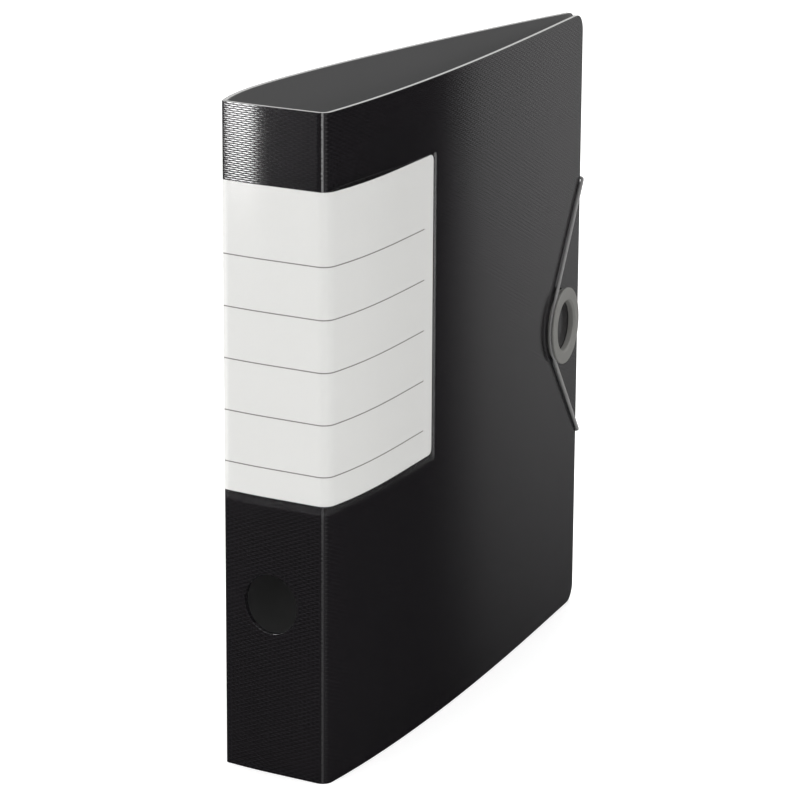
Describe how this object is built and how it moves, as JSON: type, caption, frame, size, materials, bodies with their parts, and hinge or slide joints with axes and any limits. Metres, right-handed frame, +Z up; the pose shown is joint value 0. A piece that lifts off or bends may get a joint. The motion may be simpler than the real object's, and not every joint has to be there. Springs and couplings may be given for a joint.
{
  "type": "lever arch file",
  "caption": "Upright A4 lever arch ring binder: bulging sheet covers, spine with finger hole and label pocket, two-arch mechanism, elastic and ring closure.",
  "frame": {"origin": "bottom centre of the closed file's bounding box, on the surface it stands on", "axes": "+Z up along the file's height; the spine faces -Y; the front cover is on +X"},
  "size_m": [0.0676, 0.3064, 0.318],
  "materials": {
    "black_sheet": "embossed black polypropylene sheet with a fine grain",
    "label_paper": "matt white ruled card",
    "clear_film": "clear glossy film",
    "grey_plastic": "satin moulded grey plastic",
    "grey_elastic": "woven grey covered elastic",
    "zinc_steel": "zinc plated pressed steel",
    "nickel_steel": "bright nickel plated steel",
    "black_plastic": "moulded black plastic"
  },
  "bodies": {
    "back_cover": {"back_cover": "black_sheet", "base_plate": "zinc_steel", "rivet_1": "nickel_steel", "rivet_2": "nickel_steel", "rivet_3": "nickel_steel", "rivet_4": "nickel_steel", "bow_bearing_upper": "zinc_steel", "bow_bearing_lower": "zinc_steel", "post_upper": "nickel_steel", "post_lower": "nickel_steel", "lever_bracket": "zinc_steel", "lever_pin": "nickel_steel", "bow_spring": "zinc_steel", "elastic_cord": "grey_elastic", "elastic_eyelet_upper": "nickel_steel", "elastic_eyelet_lower": "nickel_steel", "elastic_stop_upper": "black_plastic", "elastic_stop_lower": "black_plastic"},
    "spine": {"spine_panel": "black_sheet", "back_fold": "black_sheet", "front_fold": "black_sheet", "label_card": "label_paper", "label_pocket": "clear_film"},
    "front_cover": {"front_cover": "black_sheet", "closure_ring": "grey_plastic", "closure_backing_ring": "grey_plastic"},
    "lever": {"lever": "nickel_steel", "lever_grip": "black_plastic", "roller_pin": "nickel_steel"},
    "roller": {"lever_roller": "black_plastic"},
    "bow": {"arch_bow": "nickel_steel"},
    "compressor": {"compressor_bar": "zinc_steel", "compressor_catch": "black_plastic"}
  },
  "joints": [
    {"name": "spine_fold", "type": "hinge", "parent": "back_cover", "child": "spine", "pos_m": [-0.02378, -0.15057, 0], "axis": [0, 0, -1], "range_deg": [0, 90], "deforming": ["back_fold", "elastic_cord"]},
    {"name": "front_cover_fold", "type": "hinge", "parent": "spine", "child": "front_cover", "pos_m": [0.02993, -0.14976, 0], "axis": [0, 0, -1], "range_deg": [0, 90], "deforming": ["front_fold", "label_card", "label_pocket", "elastic_cord"]},
    {"name": "lever_lift", "type": "hinge", "parent": "back_cover", "child": "lever", "pos_m": [-0.01538, -0.09903, 0.175], "axis": [0, -1, 0], "range_deg": [0, 74]},
    {"name": "roller_spin", "type": "hinge", "parent": "lever", "child": "roller", "pos_m": [-0.01434, -0.09903, 0.16305], "axis": [0, 1, 0], "continuous": true},
    {"name": "bow_swing", "type": "hinge", "parent": "back_cover", "child": "bow", "pos_m": [-0.02138, -0.11003, 0.159], "axis": [0, 0, -1], "range_deg": [0, 65], "deforming": ["bow_spring"]},
    {"name": "compressor_slide", "type": "slide", "parent": "back_cover", "child": "compressor", "axis": [1, 0, 0], "range_m": [0, 0.022]}
  ],
  "couplings": [
    {"joint": "bow_swing", "follows": "lever_lift", "ratio": 0.87},
    {"joint": "spine_fold", "follows": "front_cover_fold", "ratio": 1}
  ]
}
